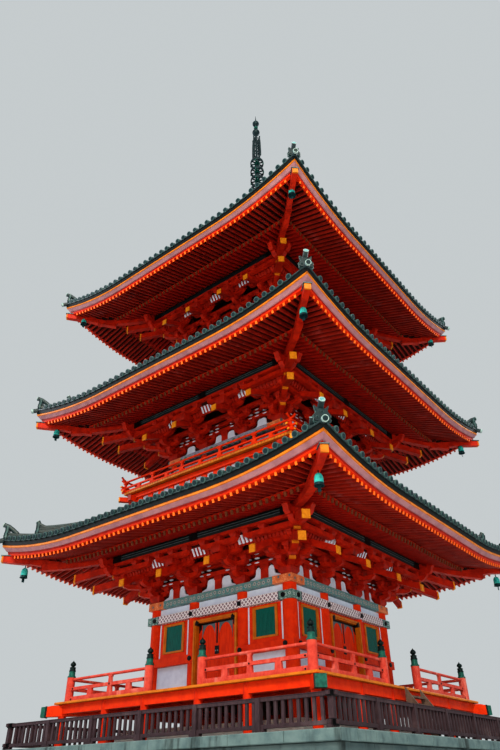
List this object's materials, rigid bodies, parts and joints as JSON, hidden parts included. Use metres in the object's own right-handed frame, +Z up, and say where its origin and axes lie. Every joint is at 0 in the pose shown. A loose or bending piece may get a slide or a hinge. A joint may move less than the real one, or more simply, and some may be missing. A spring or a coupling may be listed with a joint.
{
  "type": "three-storied timber pagoda",
  "caption": "Square timber pagoda with tiled hipped roofs, bracketed eaves, railed veranda and balconies, hinged doors and a bronze spire, on a stone podium.",
  "frame": {"origin": "centre of the podium's underside, on the ground", "axes": "+Z up; the front faces -Y, and the face with the stair is on +X"},
  "size_m": [13.0658, 13.0658, 32.151],
  "materials": {
    "granite": "rough grey-green granite with dark streaks",
    "plaster": "matt white lime plaster",
    "fence_wood": "dark weathered timber",
    "vermilion": "satin vermilion paint on timber",
    "faded_vermilion": "weathered salmon-red paint",
    "deck_wood": "ochre-edged boards",
    "stair_wood": "grey-brown weathered timber",
    "green_lacquer": "satin green slats",
    "ochre_lacquer": "satin ochre paint",
    "door_vermilion": "satin vermilion lacquer",
    "inner_wood": "bare timber",
    "painted_plate": "teal floral painting",
    "soffit_red": "deep red painted timber",
    "roof_tile": "dark grey fired clay tile",
    "dark_bronze": "dark green-brown bronze"
  },
  "bodies": {
    "building": {"podium": "granite", "podium_coping": "granite", "plaster_mound": "plaster", "fence_front": "fence_wood", "fence_right": "fence_wood", "fence_back": "fence_wood", "fence_left": "fence_wood", "veranda_frame": "vermilion", "veranda_deck": "deck_wood", "railing_front_right": "faded_vermilion", "railing_back_right": "faded_vermilion", "railing_back_left": "faded_vermilion", "railing_front_left": "faded_vermilion", "stair": "stair_wood", "wall_front_right": "vermilion", "wall_back_right": "vermilion", "wall_back_left": "vermilion", "wall_front_left": "vermilion", "window_front_a": "green_lacquer", "window_front_b": "green_lacquer", "window_right_a": "green_lacquer", "window_right_b": "green_lacquer", "window_back_a": "green_lacquer", "window_back_b": "green_lacquer", "window_left_a": "green_lacquer", "window_left_b": "green_lacquer", "door_frame_front": "ochre_lacquer", "door_frame_right": "ochre_lacquer", "door_frame_back": "ochre_lacquer", "door_frame_left": "ochre_lacquer", "doors_back": "door_vermilion", "doors_left": "door_vermilion", "first_floor": "inner_wood", "first_plate": "painted_plate", "first_brackets": "soffit_red", "first_eaves": "soffit_red", "first_roof": "roof_tile", "second_walls": "vermilion", "second_balcony": "deck_wood", "second_railing": "vermilion", "second_brackets": "soffit_red", "second_eaves": "soffit_red", "second_roof": "roof_tile", "third_walls": "vermilion", "third_balcony": "deck_wood", "third_railing": "vermilion", "third_brackets": "soffit_red", "third_eaves": "soffit_red", "third_roof": "roof_tile", "spire_base": "dark_bronze", "spire_rings": "dark_bronze", "spire_flame": "dark_bronze"},
    "front_leaf_a": {"door_front_a": "door_vermilion"},
    "front_leaf_b": {"door_front_b": "door_vermilion"},
    "right_leaf_a": {"door_right_a": "door_vermilion"},
    "right_leaf_b": {"door_right_b": "door_vermilion"}
  },
  "joints": [
    {"name": "front_leaf_a_hinge", "type": "hinge", "parent": "building", "child": "front_leaf_a", "pos_m": [-0.709, -2.625, 3.3985], "axis": [0, 0, -1], "range_deg": [0, 90]},
    {"name": "front_leaf_b_hinge", "type": "hinge", "parent": "building", "child": "front_leaf_b", "pos_m": [0.709, -2.625, 3.3985], "axis": [0, 0, 1], "range_deg": [0, 90]},
    {"name": "right_leaf_a_hinge", "type": "hinge", "parent": "building", "child": "right_leaf_a", "pos_m": [2.625, -0.709, 3.3985], "axis": [0, 0, -1], "range_deg": [0, 90]},
    {"name": "right_leaf_b_hinge", "type": "hinge", "parent": "building", "child": "right_leaf_b", "pos_m": [2.625, 0.709, 3.3985], "axis": [0, 0, 1], "range_deg": [0, 90]}
  ]
}
